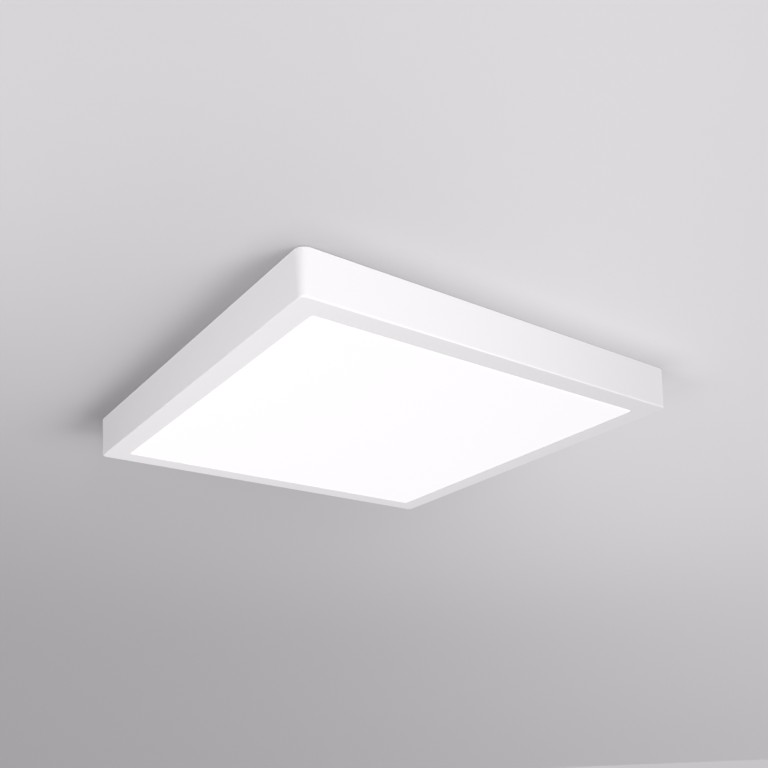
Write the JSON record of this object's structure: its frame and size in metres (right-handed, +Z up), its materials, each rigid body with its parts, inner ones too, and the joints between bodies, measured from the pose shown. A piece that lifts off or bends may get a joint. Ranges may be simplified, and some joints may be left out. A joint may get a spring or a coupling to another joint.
{
  "type": "flush mount ceiling light",
  "caption": "Shallow square edge-lit ceiling light with leaning walls and an opal face, which snaps up on to a slotted ceiling bracket by leaf springs.",
  "frame": {"origin": "centre of the ceiling bracket's slot pattern, in the plane of the ceiling", "axes": "+Z up out of the ceiling face, the light hangs towards -Z; +X along the bracket's length; +Y towards the driver's side"},
  "size_m": [0.2998, 0.2998, 0.029],
  "materials": {
    "frame_white": "white powder coat, satin",
    "opal": "opal moulded plastic, lit from behind",
    "film": "matt translucent film",
    "clear_guide": "clear acrylic sheet, polished edges",
    "reflector": "white reflecting film",
    "foam": "white foamed sheet",
    "strip_board": "white solder mask on aluminium",
    "led_package": "white package with a phosphor window",
    "zinc_steel": "bright zinc plated pressed steel",
    "plate_steel": "galvanised sheet",
    "spring_steel": "polished spring strip",
    "rivet": "turned rivet",
    "screw": "zinc plated",
    "grommet": "soft black",
    "bush": "soft natural",
    "driver_white": "fine textured moulding",
    "board": "green solder mask",
    "ferrite": "matt ferrite",
    "winding": "yellow tape over copper",
    "capacitor": "dark sleeve",
    "film_box": "moulded box",
    "choke": "shrink sleeve",
    "fuse": "moulded",
    "chip": "moulded epoxy",
    "terminal": "pale grey moulding",
    "brass": "bright",
    "button_live": "brown",
    "button_neutral": "blue",
    "button_earth": "green",
    "clamp_plastic": "white moulding",
    "lug": "tinned copper",
    "wire_brown": "brown sheath",
    "wire_blue": "blue sheath",
    "wire_earth": "green and yellow sheath",
    "wire_red": "red sheath",
    "wire_black": "black sheath",
    "clip": "natural nylon"
  },
  "bodies": {
    "ceiling_bracket": {"mounting_bracket": "zinc_steel", "cable_grommet": "grommet", "spring_rivets": "rivet", "retaining_spring_front_left": "spring_steel", "retaining_spring_front_right": "spring_steel", "retaining_spring_back_left": "spring_steel", "retaining_spring_back_right": "spring_steel"},
    "lamp": {"housing_frame": "frame_white", "diffuser": "opal", "diffusion_film": "film", "light_guide": "clear_guide", "reflector_sheet": "reflector", "foam_sheet": "foam", "led_strip_left": "strip_board", "led_strip_right": "strip_board", "led_chips_left": "led_package", "led_chips_right": "led_package", "back_plate": "plate_steel", "plate_screws": "screw", "catch_rail_front": "zinc_steel", "catch_rail_back": "zinc_steel", "rail_rivets": "rivet", "wire_bushes": "bush", "driver_base": "driver_white", "driver_cover": "driver_white", "driver_board": "board", "transformer_core": "ferrite", "transformer_winding": "winding", "bulk_capacitors": "capacitor", "film_capacitor": "film_box", "filter_choke": "choke", "fuse": "fuse", "driver_chips": "chip", "driver_screws": "screw", "terminal_body": "terminal", "terminal_contacts": "brass", "terminal_screws": "screw", "cable_clamp": "clamp_plastic", "clamp_screws": "screw", "earth_lug": "lug", "earth_screw": "screw", "live_lead": "wire_brown", "neutral_lead": "wire_blue", "earth_lead": "wire_earth", "led_lead_red": "wire_red", "led_lead_black": "wire_black", "wire_clips": "clip", "clamp_spring_live": "spring_steel", "clamp_spring_neutral": "spring_steel", "clamp_spring_earth": "spring_steel"},
    "button_live": {"release_button_live": "button_live"},
    "button_neutral": {"release_button_neutral": "button_neutral"},
    "button_earth": {"release_button_earth": "button_earth"}
  },
  "joints": [
    {"name": "lamp_drop", "type": "slide", "parent": "ceiling_bracket", "child": "lamp", "axis": [0, 0, -1], "range_m": [0, 0.06], "deforming": ["retaining_spring_front_left", "retaining_spring_front_right", "retaining_spring_back_left", "retaining_spring_back_right"]},
    {"name": "push_live", "type": "slide", "parent": "lamp", "child": "button_live", "axis": [0, 0, -1], "range_m": [0, 0.0015], "stiffness_N_per_m": 3000, "springref_m": -0.0005, "deforming": ["clamp_spring_live"]},
    {"name": "push_neutral", "type": "slide", "parent": "lamp", "child": "button_neutral", "axis": [0, 0, -1], "range_m": [0, 0.0015], "stiffness_N_per_m": 3000, "springref_m": -0.0005, "deforming": ["clamp_spring_neutral"]},
    {"name": "push_earth", "type": "slide", "parent": "lamp", "child": "button_earth", "axis": [0, 0, -1], "range_m": [0, 0.0015], "stiffness_N_per_m": 3000, "springref_m": -0.0005, "deforming": ["clamp_spring_earth"]}
  ]
}
